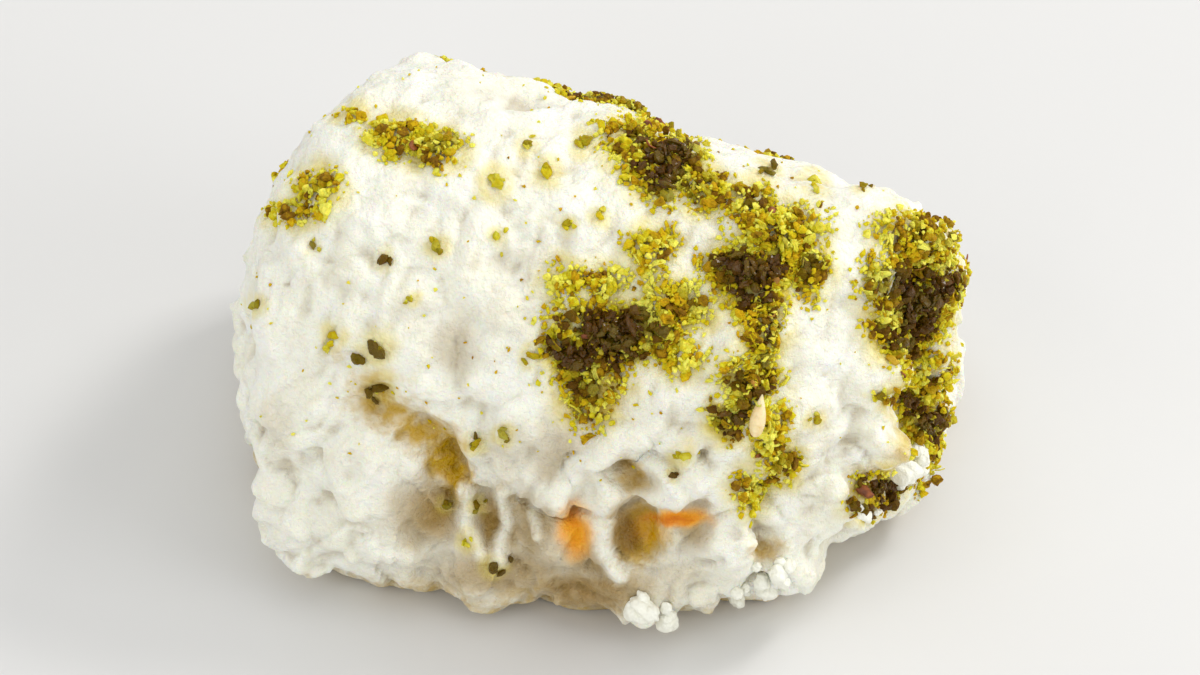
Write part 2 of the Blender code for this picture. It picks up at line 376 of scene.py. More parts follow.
def direction(turn, tilt):
    """The unit vector at this turn to the right of the front and tilt above the horizon."""
    turn, tilt = math.radians(turn), math.radians(tilt)
    level = math.cos(tilt)
    return np.array((math.sin(turn) * level, -math.cos(turn) * level, math.sin(tilt)))


SIDE_PULLS = np.array([direction(turn, tilt) / reach for turn, tilt, reach in SIDES])


# The form of the piece, the same as that of the solid it stands for


def fullness(points):
    """Below 1 inside the bare block, 1 on its surface and above 1 outside."""
    shares = np.maximum((points - HEART) @ SIDE_PULLS.T, 0.0)
    return (shares**ROUNDING).sum(axis=-1) ** (1 / ROUNDING)


def front_place(right, up):
    """The point of the bare block that lies at this place, seen along the sight line."""
    near, far = -SIGHT_START, 0.0
    for _ in range(40):
        middle = (near + far) / 2
        if fullness(RIGHT * right + UP * up + SIGHT * middle) > 1:
            near = middle
        else:
            far = middle
    return RIGHT * right + UP * up + SIGHT * far


def dome(distance, radius):
    """1 at the middle of a spot, falling smoothly to 0 at its radius."""
    share = np.clip(1 - (distance / radius) ** 2, 0, None)
    return share * share


def smooth_step(low, high, values):
    share = np.clip((values - low) / (high - low), 0, 1)
    return share * share * (3 - 2 * share)


def spots(points, places):
    """The summed height of round spots, each given as right, up, radius and height."""
    height = np.zeros(len(points))
    for right, up, radius, rise in places:
        distance = np.linalg.norm(points - front_place(right, up), axis=1)
        height += rise * dome(distance, SPOT_REACH * radius)
    return height


def lumps(points, size, height):
    """Rounded lumps of about this size, with creases between them."""
    nearest = np.array([noise.voronoi(Vector(p / size))[0][0] for p in points])
    return height * (0.5 - LUMP_FALL * nearest * nearest)


def cragginess(points):
    """How strongly the curd shows: full near the base, less towards the top."""
    return 1 - (1 - CALM_SHARE) * smooth_step(CRAGGY_BELOW, CALM_ABOVE, points[:, 2])


def shaped(directions):
    """Points of the cheese, in millimetres, one for each direction from its heart."""
    reach = 1 / fullness(HEART + directions)
    points = HEART + directions * reach[:, None]
    height = spots(points, BULGES) - spots(points, HOLLOWS)
    rough = lumps(points, LUMP_SIZE, LUMP_HEIGHT) + lumps(points, CURD_SIZE, CURD_HEIGHT)
    return points + directions * (height + cragginess(points) * rough)[:, None]


# Fine relief of the broken curd


def noise_of(points, size, seed=0):
    shift = Vector((seed * 17.3, seed * 5.1, seed * 9.7))
    return np.array([noise.noise(Vector(p) + shift) for p in points / size])


def vector_noise_of(points, size, seed=0):
    """The same in three directions at once."""
    return np.stack([noise_of(points, size, seed + k / 3) for k in range(3)], axis=1)


def near_side(points):
    """1 on the side that is near to the raised viewpoint, 0 on the far side."""
    return smooth_step(0.0, 5.0, (HEART - points) @ SIGHT)


def seen(points):
    """The places of these points as they look along the sight line: right and up."""
    return np.stack([points @ RIGHT, points @ UP], axis=1)


def line_distance(places, start, end):
    """The distance of each place from the stretch between two places."""
    start, end = np.array(start), np.array(end)
    along = end - start
    share = np.clip((places - start) @ along / (along @ along), 0, 1)
    return np.linalg.norm(places - start - share[:, None] * along, axis=1)


def webs(points):
    """The height of the thin webs of curd."""
    wander = [noise_of(points, WEB_WANDER_SIZE, seed) for seed in (13, 14)]
    places = seen(points) + WEB_WANDER * np.stack(wander, axis=1)
    height = np.zeros(len(points))
    for width, rise, bends in WEBS:
        nearest = np.full(len(points), np.inf)
        for start, end in zip(bends, bends[1:]):
            nearest = np.minimum(nearest, line_distance(places, start, end))
        height = np.maximum(height, rise * dome(nearest, WEB_REACH * width))
    return height


def ledges(points, size, steps):
    """A saw-tooth field: it climbs slowly and drops in sharp broken steps, 0 to 1."""
    level = noise_of(points, size, seed=3) * steps
    share = level - np.floor(level)
    return share - smooth_step(0.86, 1.0, share)


def pits(points, size, share):
    """Round pores, 0 to 1 deep, in this share of the cells of this size."""
    depth = np.zeros(len(points))
    for i, p in enumerate(points / size):
        distances, centres = noise.voronoi(Vector(p))
        chance = 0.5 + 0.5 * noise.cell(centres[0] * 7.31)
        if chance < share:
            radius = PORE_RADIUS + PORE_SPREAD * noise.cell(centres[0] * 3.17)
            depth[i] = max(0.0, 1 - (distances[0] / radius) ** 2)
    return depth


def grooves(points):
    """Fine drag lines that run down the face, 0 to 1 deep."""
    across = points @ RIGHT + GROOVE_WANDER * noise_of(points, 9.0, seed=5)
    across = across - GROOVE_SLANT * (points @ UP)
    wide, long, deep = GROOVE_SIZES
    stretched = np.stack([across / wide, points @ UP / long, points @ SIGHT / deep], axis=1)
    fine = np.array([noise.noise(Vector(p)) for p in stretched])
    broad = np.array([noise.noise(Vector(p * 0.45 + 11.0)) for p in stretched])
    patchy = 0.35 + 0.65 * smooth_step(-0.2, 0.3, noise_of(points, 4.5, seed=15))
    return patchy * (smooth_step(0.05, 0.55, fine) + 0.7 * smooth_step(0.0, 0.5, broad))


def relief(points, settings):
    """How far each point moves out along its normal, in millimetres."""
    crag = cragginess(points)
    calm = 1 - crag
    broken = 0.25 + 0.75 * smooth_step(-0.15, 0.25, noise_of(points, BROKEN_SIZE, seed=6))
    granules = lumps(points, settings.granule_size, 1.0)
    fine_granules = lumps(points, FINE_GRANULE_SIZE * settings.granule_size, 1.0)
    grain = noise_of(points, GRAIN_SIZES[0], seed=7) + 0.6 * noise_of(points, GRAIN_SIZES[1], seed=8)
    height = settings.granule_height * (0.3 + crag * broken) * granules
    height += FINE_GRANULE_HEIGHT * settings.granule_height * crag * broken * fine_granules
    height += settings.ledge_height * crag * (ledges(points, LEDGE_SIZE, LEDGE_STEPS) - 0.4)
    height -= settings.pore_depth * (0.3 + 0.7 * crag) * pits(points, settings.pore_size, PORE_SHARE)
    height -= settings.groove_depth * (0.3 + 0.7 * calm) * grooves(points)
    height += settings.dimple_height * noise_of(points, DIMPLE_SIZE, seed=9)
    height += settings.grain_height * grain
    return height + near_side(points) * webs(points)


# Meshes


def deselect_all():
    bpy.ops.object.select_all(action="DESELECT")


def points_of(mesh):
    values = np.empty(3 * len(mesh.vertices), np.float32)
    mesh.vertices.foreach_get("co", values)
    return values.reshape(-1, 3).astype(float) / MM


def normals_of(mesh):
    values = np.empty(3 * len(mesh.vertices), np.float32)
    mesh.vertices.foreach_get("normal", values)
    return values.reshape(-1, 3).astype(float)


def move_points(mesh, points):
    mesh.vertices.foreach_set("co", (points * MM).astype(np.float32).ravel())
    mesh.update()


def edges_of(mesh):
    values = np.empty(2 * len(mesh.edges), np.int32)
    mesh.edges.foreach_get("vertices", values)
    return values.reshape(-1, 2)


def averaged(values, edges, rounds):
    """The values smoothed over the neighbouring points, this many times."""
    ends = np.concatenate([edges[:, 0], edges[:, 1]])
    others = np.concatenate([edges[:, 1], edges[:, 0]])
    count = np.maximum(np.bincount(ends, minlength=len(values)), 1)
    for _ in range(rounds):
        columns = [np.bincount(ends, weights=values[others, k], minlength=len(values)) for k in range(3)]
        values = np.stack(columns, axis=1) / count[:, None]
    return values


def hollowness(mesh, rounds):
    """How far each point lies below its smoothed surroundings, in millimetres."""
    points = points_of(mesh)
    smoothed = averaged(points, edges_of(mesh), rounds)
    return ((smoothed - points) * normals_of(mesh)).sum(axis=1)


def store(mesh, name, values):
    """Keeps one number for each point, for the materials to read."""
    layer = mesh.attributes.new(name, "FLOAT", "POINT")
    layer.data.foreach_set("value", values.astype(np.float32))


def apply_modifier(thing, kind, name, **values):
    modifier = thing.modifiers.new(name, kind)
    for key, value in values.items():
        setattr(modifier, key, value)
    bpy.context.view_layer.objects.active = thing
    bpy.ops.object.modifier_apply(modifier=modifier.name)


def cut_base(thing):
    """Cuts a piece flat at the height of its base and closes the cut."""
    bpy.context.view_layer.objects.active = thing
    bpy.ops.object.mode_set(mode="EDIT")
    bpy.ops.mesh.select_all(action="SELECT")
    bpy.ops.mesh.bisect(plane_co=(0, 0, 0), plane_no=(0, 0, 1), use_fill=True, clear_inner=True)
    bpy.ops.object.mode_set(mode="OBJECT")


def patches(points, places, fade_from=0.25):
    """The strongest of some soft-edged oval patches, each right, up, half sizes, strength."""
    wander = [noise_of(points, PATCH_WANDER_SIZE, seed) for seed in (11, 12)]
    flat = seen(points) + PATCH_WANDER * np.stack(wander, axis=1)
    strength = np.zeros(len(points))
    for right, up, wide, high, share in places:
        away = np.linalg.norm((flat - (right, up)) / (wide, high), axis=1)
        strength = np.maximum(strength, share * (1 - smooth_step(fade_from, PATCH_END, away)))
    return strength


def add_cheese(settings):
    """The broken piece: the block, its crags, then the fine relief of the curd."""
    deselect_all()
    bpy.ops.mesh.primitive_ico_sphere_add(subdivisions=settings.sphere_level, radius=1)
    cheese = bpy.context.object
    cheese.name = "feta_cheese"
    mesh = cheese.data
    directions = points_of(mesh)
    directions /= np.linalg.norm(directions, axis=1)[:, None]
    points = shaped(directions)
    crag = (cragginess(points) * smooth_step(0.5, 4.0, points[:, 2]))[:, None]
    points += crag * settings.crag_shift * vector_noise_of(points, CRAG_SIZES[0], seed=31)
    points += crag * FINE_CRAG_SHARE * settings.crag_shift * vector_noise_of(points, CRAG_SIZES[1], seed=32)
    move_points(mesh, points)
    cut_base(cheese)
    apply_modifier(cheese, "REMESH", "even faces", mode="VOXEL", voxel_size=settings.face_size * MM)
    points, normals = points_of(mesh), normals_of(mesh)
    free = smooth_step(0.0, 0.8, points[:, 2])
    points += normals * (free * relief(points, settings))[:, None]
    points[:, 2] = np.maximum(points[:, 2], 0.0)
    move_points(mesh, points)
    apply_modifier(cheese, "SMOOTH", "soften", factor=0.35, iterations=1)
    mesh.shade_smooth()
    store_finish(mesh)
    return cheese


def store_finish(mesh):
    """Keeps the painted shade of the hollows and of the drag lines, the soaked-in oil, the marks and the herb
    stains.
    """
    points = points_of(mesh)
    front = near_side(points)
    facing = front * smooth_step(0.05, 0.4, -(normals_of(mesh) @ SIGHT))
    creases = smooth_step(0.04, 0.40, hollowness(mesh, CREASE_ROUNDS))
    recesses = smooth_step(0.10, 1.10, hollowness(mesh, RECESS_ROUNDS))
    deep = np.maximum(0.7 * creases, recesses)
    clear = 1 - 0.9 * np.clip(front * webs(points) / 0.5, 0, 1)
    shaded = front * patches(points, SHADES) * (0.84 + 0.16 * deep)
    # painted shade: the creases, the recesses and the shade patches are darkened warm brown, partly the tint
    # of oil-soaked curd
    store(mesh, "hollow_shade", clear * np.maximum(0.55 * deep, shaded))
    soaked = smooth_step(0.0, 0.45, noise_of(points, 6.0, seed=21))
    low = 1 - smooth_step(0.5, 4.5, points[:, 2] + 2.0 * noise_of(points, 4.0, seed=22))
    hidden_oil = (1 - front) * deep * soaked
    pooled = clear * front * patches(points, OIL_STAINS) * (0.8 + 0.2 * deep)
    store(mesh, "oil", np.maximum.reduce([pooled, 0.8 * hidden_oil, 0.5 * low]))
    # painted shade along the drag lines
    store(mesh, "groove_shade", smooth_step(0.1, 1.2, grooves(points)))
    store(mesh, "orange", front * patches(points, ORANGE_MARKS))
    store(mesh, "rust", front * patches(points, RUST_MARKS))
    halos = [(r, u, 1.1 * w + 0.7, 1.1 * h + 0.7, 0.6 + 0.4 * wet) for r, u, w, h, _, wet in FRONT_HEAPS]
    halos += [(r, u, 0.9 * size, 0.9 * size, 0.6) for r, u, size, _ in STRAY_CRUMBS]
    store(mesh, "herb_stain", facing * patches(points, halos, fade_from=0.6))


# Small things, modelled once and repeated as joined meshes


def take_shape(thing):
    """The points and triangles of a modelled shape, which is then removed."""
    apply_modifier(thing, "TRIANGULATE", "triangles")
    mesh = thing.data
    points = points_of(mesh) * MM  # a shape is about 1 across, in Blender's own unit
    faces = np.empty(3 * len(mesh.polygons), np.int32)
    mesh.polygons.foreach_get("vertices", faces)
    bpy.data.objects.remove(thing)
    bpy.data.meshes.remove(mesh)
    return points, faces.reshape(-1, 3)


def lump_shapes(count, level, unevenness, seed):
    """Uneven lumps of about 1 across."""
    shapes = []
    for k in range(count):
        deselect_all()
        bpy.ops.mesh.primitive_ico_sphere_add(subdivisions=level, radius=0.5)
        lump = bpy.context.object
        for vertex in lump.data.vertices:
            shift = Vector((seed + 3.7 * k, 1.3 * k, 0.0))
            swell = noise.noise(vertex.co * 2.1 + shift) + 0.6 * noise.noise(vertex.co * 5.3 + shift)
            vertex.co *= 1 + unevenness * swell
        shapes.append(take_shape(lump))
    return shapes


def leaf_shapes(count, seed):
    """Thin curled flakes of dried leaf, 1 long."""
    draw = random.Random(seed)
    shapes = []
    for _ in range(count):
        deselect_all()
        bpy.ops.mesh.primitive_grid_add(x_subdivisions=4, y_subdivisions=2, size=1)
        leaf = bpy.context.object
        curl, fold, twist = draw.uniform(0.3, 0.9), draw.uniform(0.2, 0.7), draw.uniform(-0.8, 0.8)
        for vertex in leaf.data.vertices:
            x, y = vertex.co.x, vertex.co.y * 0.55
            narrow = math.sqrt(max(0.05, 1 - (1.7 * x) ** 2 * 0.9))
            y *= narrow * draw.uniform(0.8, 1.15)
            z = -curl * x * x + fold * abs(y) + twist * x * y
            vertex.co = (x * draw.uniform(0.9, 1.1), y, z)
        apply_modifier(leaf, "SOLIDIFY", "thickness", thickness=0.09, offset=0.0)
        shapes.append(take_shape(leaf))
    return shapes


def stem_shapes(count, seed):
    """Short bent bits of dried stem, 1 long."""
    draw = random.Random(seed)
    shapes = []
    for _ in range(count):
        deselect_all()
        bpy.ops.mesh.primitive_cylinder_add(vertices=6, radius=0.07, depth=1, rotation=(0, math.pi / 2, 0))
        stem = bpy.context.object
        bpy.ops.object.transform_apply(location=False, rotation=True, scale=False)
        bpy.ops.object.mode_set(mode="EDIT")
        bpy.ops.mesh.select_all(action="SELECT")
        bpy.ops.mesh.subdivide(number_cuts=1)
        bpy.ops.object.mode_set(mode="OBJECT")
        bend = draw.uniform(0.1, 0.5)
        for vertex in stem.data.vertices:
            vertex.co.z -= bend * vertex.co.x**2
            vertex.co.y *= draw.uniform(0.8, 1.2)
        shapes.append(take_shape(stem))
    return shapes


def seed_shape():
    """A sesame seed, 1 long: a flat drop, pointed at one end."""
    deselect_all()
    bpy.ops.mesh.primitive_uv_sphere_add(segments=20, ring_count=14, radius=0.5, rotation=(0, math.pi / 2, 0))
    seed = bpy.context.object
    bpy.ops.object.transform_apply(location=False, rotation=True, scale=False)
    for vertex in seed.data.vertices:
        taper = 1 - 0.75 * (vertex.co.x + 0.5) ** 1.7
        vertex.co.y *= max(taper, 0.1)
        vertex.co.z *= max(taper, 0.15)
    return take_shape(seed)


class Copy(NamedTuple):
    """One copy of a shape, with what its material reads."""

    kind: int  # which of the shapes
    matrix: Matrix  # in metres
    tint: float = 0.0
    wet: float = 0.0


def join_copies(name, shapes, copies, rounded=False):
    """One mesh of many copies."""
    all_points, all_faces, tints, wets = [], [], [], []
    start = 0
    for kind, matrix, tint, wet in copies:
        points, faces = shapes[kind]
        turn = np.array(matrix.to_3x3())
        all_points.append(points @ turn.T + np.array(matrix.translation))
        all_faces.append(faces + start)
        tints.append(np.full(len(points), tint))
        wets.append(np.full(len(points), wet))
        start += len(points)
    mesh = bpy.data.meshes.new(name)
    mesh.from_pydata(np.concatenate(all_points).tolist(), [], np.concatenate(all_faces).tolist())
    thing = bpy.data.objects.new(name, mesh)
    bpy.context.collection.objects.link(thing)
    if rounded:
        mesh.shade_smooth()
    store(mesh, "tint", np.concatenate(tints))
    store(mesh, "wet", np.concatenate(wets))
    return thing


class Surface:
    """The finished cheese, for laying things on it."""

    def __init__(self, cheese):
        mesh = cheese.data
        self.tree = BVHTree.FromPolygons(
            [v.co for v in mesh.vertices], [p.vertices[:] for p in mesh.polygons]
        )

    def hit(self, start, heading):
        """Where a line from start, in millimetres, first meets the cheese, and its normal."""
        where, normal, _, _ = self.tree.ray_cast(Vector(start) * MM, Vector(heading))
        return (None, None) if where is None else (where / MM, normal)


def front_frame(right, up):
    """A place outside the front to look from, the two ways across, and the way in."""
    return RIGHT * right + UP * up - SIGHT * SIGHT_START, RIGHT, UP, SIGHT


def side_frame(turn, tilt):
    """The same, for a place at this turn and tilt from the heart."""
    out = direction(turn, tilt)
    level = np.cross((0.0, 0.0, 1.0), out)
    level /= np.linalg.norm(level)
    return HEART + out * SIGHT_START, level, np.cross(out, level), -out


def herb_heaps():
    """Every heap: its frame, half sizes, thickness and wetness."""
    heaps = [(front_frame(right, up), *rest) for right, up, *rest in FRONT_HEAPS]
    return heaps + [(side_frame(turn, tilt), *rest) for turn, tilt, *rest in HIDDEN_HEAPS]


def laid(where, normal, size, flatness, draw, lift=0.0, loose=0.6):
    """A matrix that lays a copy on the cheese: lifted, turned at random and tipped a little."""
    turn = normal.to_track_quat("Z", "Y") @ Quaternion((0, 0, 1), draw.uniform(0, 2 * math.pi))
    tip = Quaternion((1, 0, 0), draw.gauss(0, loose)) @ Quaternion((0, 1, 0), draw.gauss(0, loose))
    stretch = Vector((size, size * draw.uniform(0.5, 0.95), size * flatness)) * MM
    place = (where + normal * lift) * MM
    return Matrix.LocRotScale(place, turn @ tip, stretch)


def spread(draw, reach):
    """A random spot in a disc with a ragged edge, and how far out it is."""
    angle = draw.uniform(0, 2 * math.pi)
    ragged = 1 + 0.28 * math.sin(3 * angle + draw.uniform(-0.4, 0.4)) + draw.gauss(0, 0.08)
    away = reach * math.sqrt(draw.random())
    return away * ragged * math.cos(angle), away * ragged * math.sin(angle), away


class Filling(NamedTuple):
    """How one kind of bit fills the heaps."""

    density: float  # bits for each square millimetre
    sizes: tuple  # the smallest and the largest
    flatness: float
    tint_of: Callable  # a function of the draw and of how near the core is
    lift: float = 1.0  # the share of a heap's thickness that the bits reach
    reach: float = 1.0  # the share of its half sizes
    on_top: float = 0.0  # at 1 they all lie on top, drier, and skip the wet cores


def within_one(value):
    return min(1.0, max(0.0, value))


def fill_heaps(surface, filling, kinds, draw):
    """Copies that fill the heaps from the cheese up, or lie on top and stay drier."""
    copies = []
    on_top = filling.on_top
    smallest, largest = filling.sizes
    for (start, across, upward, inward), wide, high, thick, wet in herb_heaps():
        count = round(filling.density * math.pi * wide * high * (0.5 + thick))
        for _ in range(count):
            a, b, away = spread(draw, filling.reach)
            where, normal = surface.hit(start + across * a * wide + upward * b * high, inward)
            if where is None or where.z < LOWEST_BIT:
                continue
            core = max(0.0, 1 - away * away)
            if draw.random() < 1.6 * on_top * wet * math.sqrt(core):
                continue
            size = smallest + (largest - smallest) * draw.random() ** 1.6
            layer = on_top + (1 - on_top) * draw.random()
            lift = layer * filling.lift * thick * core + 0.12 * size
            cluster = noise.noise(where / CLUSTER_SIZE)
            damp_cluster = noise.noise(where / CLUSTER_SIZE + Vector((9, 0, 0)))
            dampness = (wet * (0.5 + 0.8 * core) + 0.4 * damp_cluster) * (1 - 0.7 * on_top)
            tone = CLUSTER_TONE * cluster + 0.35 * (wet - 0.35)
            tint = filling.tint_of(draw, core) + (1 - 0.6 * on_top) * tone
            flatness = filling.flatness * draw.uniform(0.8, 1.25)
            matrix = laid(where, normal, size, flatness, draw, lift, loose=0.8)
            kind = draw.randrange(kinds)
            copies.append(Copy(kind, matrix, within_one(tint), within_one(dampness)))
    return copies


def add_strays(copies, surface, kinds, draw):
    """Adds the single crumbs on the front, each a large bit with two smaller ones by it."""
    for right, up, size, wet in STRAY_CRUMBS:
        start, _, _, inward = front_frame(right, up)
        for share, looseness in ((0.8, 0.0), (0.55, 0.35), (0.4, 0.35)):
            reach = looseness * size + 1e-6
            shift = RIGHT * draw.gauss(0, reach) + UP * draw.gauss(0, reach)
            where, normal = surface.hit(start + shift, inward)
            if where is None:
                continue
            matrix = laid(where, normal, size * share, 0.7, draw, 0.1 * size, loose=0.4)
            kind = draw.randrange(kinds)
            tint, dampness = draw.uniform(0.15, 0.5), wet + draw.gauss(0, 0.06)
            copies.append(Copy(kind, matrix, tint, dampness))


def crumb_tint(draw, core):
    return draw.betavariate(1.9, 1.9) + 0.10 * core


def dust_tint(draw, core):
    return draw.betavariate(1.2, 3.4)


def scatter_dust(surface, count, kinds, draw):
    """Fine specks all over, the most on the upper front."""
    copies = []
    for _ in range(count):
        out = Vector((draw.gauss(0, 1), draw.gauss(-0.35, 1), abs(draw.gauss(0.1, 1)))).normalized()
        where, normal = surface.hit(HEART + np.array(out) * SIGHT_START, -out)
        if where is None or where.z < LOWEST_SPECK:
            continue
        size = draw.uniform(0.16, 0.42)
        matrix = laid(where, normal, size, 0.7, draw, 0.05)
        kind, tint = draw.randrange(kinds), draw.betavariate(1.4, 2.4)
        copies.append(Copy(kind, matrix, tint, draw.uniform(0, 0.3)))
    return copies


# Materials


def new_material(name):
    material = bpy.data.materials.new(name)
    material.use_nodes = True
    tree = material.node_tree
    return material, tree, tree.nodes["Principled BSDF"]


def add_node(tree, kind, **values):
    node = tree.nodes.new(kind)
    for key, value in values.items():
        setattr(node, key, value)
    return node


def read_layer(tree, name):
    return add_node(tree, "ShaderNodeAttribute", attribute_name=name).outputs["Fac"]


def object_place(tree):
    return add_node(tree, "ShaderNodeTexCoord").outputs["Object"]


def mixed(tree, share, first, second):
    """A colour between two, each a colour or a socket, by a share from a socket."""
    mix = add_node(tree, "ShaderNodeMix", data_type="RGBA")
    tree.links.new(share, mix.inputs["Factor"])
    for value, socket in ((first, mix.inputs[6]), (second, mix.inputs[7])):
        if isinstance(value, bpy.types.NodeSocket):
            tree.links.new(value, socket)
        else:
            socket.default_value = (*value, 1.0)
    return mix.outputs[2]


def calculated(tree, operation, first, second=0.0, clamp=False):
    """A number worked out from two, each a number or a socket."""
    sum_node = add_node(tree, "ShaderNodeMath", operation=operation, use_clamp=clamp)
    for value, socket in zip((first, second), sum_node.inputs):
        if isinstance(value, bpy.types.NodeSocket):
            tree.links.new(value, socket)
        else:
            socket.default_value = value
    return sum_node.outputs[0]


def ranged(tree, value, low, high, new_low=0.0, new_high=1.0):
    """A value eased from one range into another."""
    node = add_node(tree, "ShaderNodeMapRange", interpolation_type="SMOOTHSTEP")
    tree.links.new(value, node.inputs["Value"])
    for key, number in zip(("From Min", "From Max", "To Min", "To Max"), (low, high, new_low, new_high)):
        node.inputs[key].default_value = number
    return node.outputs["Result"]


def mottle_group():
    """Soft cloudy variation of a given size: a value from 0 to 1."""
    group = bpy.data.node_groups.get("Mottle")
    if group:
        return group
    group = bpy.data.node_groups.new("Mottle", "ShaderNodeTree")
    group.interface.new_socket("Size", in_out="INPUT", socket_type="NodeSocketFloat")
    group.interface.new_socket("Detail", in_out="INPUT", socket_type="NodeSocketFloat")
    group.interface.new_socket("Value", in_out="OUTPUT", socket_type="NodeSocketFloat")
    inside, outside = group.nodes.new("NodeGroupInput"), group.nodes.new("NodeGroupOutput")
    cloud = add_node(group, "ShaderNodeTexNoise")
    group.links.new(object_place(group), cloud.inputs["Vector"])
    group.links.new(calculated(group, "DIVIDE", 1.0, inside.outputs["Size"]), cloud.inputs["Scale"])
    group.links.new(inside.outputs["Detail"], cloud.inputs["Detail"])
    group.links.new(ranged(group, cloud.outputs["Fac"], 0.3, 0.7), outside.inputs["Value"])
    return group


def mottle(tree, size, detail=2.0):
    """A soft variation whose patches are this many millimetres across."""
    node = add_node(tree, "ShaderNodeGroup", node_tree=mottle_group())
    node.inputs["Size"].default_value = size * MM
    node.inputs["Detail"].default_value = detail
    return node.outputs["Value"]


def add_bump(tree, shader, height, depth):
    """Fine relief from a height of 0 to 1, this many millimetres deep."""
    bump = add_node(tree, "ShaderNodeBump")
    bump.inputs["Strength"].default_value = 1.0
    bump.inputs["Distance"].default_value = depth * MM
    tree.links.new(height, bump.inputs["Height"])
    tree.links.new(bump.outputs["Normal"], shader.inputs["Normal"])


def feta_material(colours):
    """Moist white curd, golden where oil has soaked in, with painted warm shade in its hollows, along its
    drag lines and on the oil in the deepest hollows.
    """
    material, tree, shader = new_material("feta_curd")
    oil, hollow_shade = read_layer(tree, "oil"), read_layer(tree, "hollow_shade")
    ragged = calculated(tree, "MULTIPLY", mottle(tree, 1.0), 0.25)
    oil_edge = ranged(tree, calculated(tree, "ADD", oil, ragged), 0.15, 1.0)
    clouds = calculated(tree, "MULTIPLY", mottle(tree, 4.0), 0.4)
    # painted shade: the curd darkens along the drag lines, on top of its random second tone
    groove_shading = calculated(tree, "MULTIPLY", read_layer(tree, "groove_shade"), 0.6)
    curd = mixed(tree, calculated(tree, "ADD", clouds, groove_shading), colours.curd, colours.curd_shade)
    # painted shade: the curd turns warm brown in its creases and recesses
    curd = mixed(tree, hollow_shade, curd, colours.hollow_shade)
    uneven = ranged(tree, mottle(tree, 1.6), -0.5, 0.7)
    stain = calculated(tree, "MULTIPLY", read_layer(tree, "herb_stain"), uneven)
    curd = mixed(tree, calculated(tree, "MULTIPLY", stain, 0.9), curd, colours.herb_stain)
    curd = mixed(tree, ranged(tree, stain, 0.6, 1.0, 0.0, 0.8), curd, colours.herb_soak)
    # painted shade: the oil colour turns darker where the hollows are deepest
    pooled = mixed(tree, ranged(tree, hollow_shade, 0.35, 0.95), colours.oil, colours.shaded_oil)
    curd = mixed(tree, oil_edge, curd, pooled)
    curd = mixed(tree, ranged(tree, read_layer(tree, "orange"), 0.0, 1.1), curd, colours.orange)
    curd = mixed(tree, read_layer(tree, "rust"), curd, colours.rust)
    tree.links.new(curd, shader.inputs["Base Color"])
    wet = calculated(tree, "MAXIMUM", oil, calculated(tree, "MULTIPLY", stain, 0.7))
    tree.links.new(ranged(tree, wet, 0.1, 0.9, 0.58, 0.26), shader.inputs["Roughness"])
    tree.links.new(calculated(tree, "MULTIPLY", oil_edge, 0.25), shader.inputs["Coat Weight"])
    shader.inputs["Coat Roughness"].default_value = 0.15
    shader.inputs["Specular IOR Level"].default_value = 0.25
    shader.subsurface_method = "RANDOM_WALK"
    shader.inputs["Subsurface Weight"].default_value = 0.7
    shader.inputs["Subsurface Radius"].default_value = (1.0, 0.8, 0.5)
    shader.inputs["Subsurface Scale"].default_value = 0.8 * MM
    fine = calculated(tree, "MULTIPLY", mottle(tree, 0.25), 0.4)
    add_bump(tree, shader, calculated(tree, "ADD", mottle(tree, 0.8, 5.0), fine), 0.16)
    return material


def crumb_material(colours):
    """The same curd in loose crumbs, too small for light to pass through."""
    material, tree, shader = new_material("white_crumb_curd")
    shade = calculated(tree, "MULTIPLY", mottle(tree, 1.5), 0.4)
    tree.links.new(mixed(tree, shade, colours.curd, colours.curd_shade), shader.inputs["Base Color"])
    tree.links.new(ranged(tree, mottle(tree, 0.6), 0.0, 1.0, 0.5, 0.65), shader.inputs["Roughness"])
    add_bump(tree, shader, mottle(tree, 0.4, 4.0), 0.07)
    return material


def herb_material(colours):
    """Dried herbs, yellow-green to brown, and dark where they are soaked."""
    material, tree, shader = new_material("dried_herbs")
    ramp = add_node(tree, "ShaderNodeValToRGB")
    tones = (colours.herb_bright, colours.herb_green, colours.herb_gold, colours.herb_brown)
    places = (0.0, 0.38, 0.72, 1.0)
    stops = ramp.color_ramp.elements
    while len(stops) < len(tones):
        stops.new(0.5)
    for stop, place, tone in zip(stops, places, tones):
        stop.position = place
        stop.color = (*tone, 1.0)
    speckle = calculated(tree, "MULTIPLY", mottle(tree, 0.5), 0.24)
    shifted = calculated(tree, "ADD", read_layer(tree, "tint"), speckle)
    tree.links.new(calculated(tree, "SUBTRACT", shifted, 0.12, clamp=True), ramp.inputs["Fac"])
    wet = read_layer(tree, "wet")
    soaked = calculated(tree, "MULTIPLY", ranged(tree, wet, 0.3, 0.8), 0.92)
    tone = mixed(tree, soaked, ramp.outputs["Color"], colours.herb_soaked)
    tree.links.new(tone, shader.inputs["Base Color"])
    tree.links.new(ranged(tree, wet, 0.2, 0.8, 0.75, 0.35), shader.inputs["Roughness"])
    tree.links.new(ranged(tree, wet, 0.75, 1.0, 0.0, 0.35), shader.inputs["Coat Weight"])
    shader.inputs["Coat Roughness"].default_value = 0.12
    shader.inputs["Specular IOR Level"].default_value = 0.12
    shader.inputs["Subsurface Weight"].default_value = 0.15
    shader.inputs["Subsurface Scale"].default_value = 0.4 * MM
    add_bump(tree, shader, mottle(tree, 0.22, 4.0), 0.08)
    return material


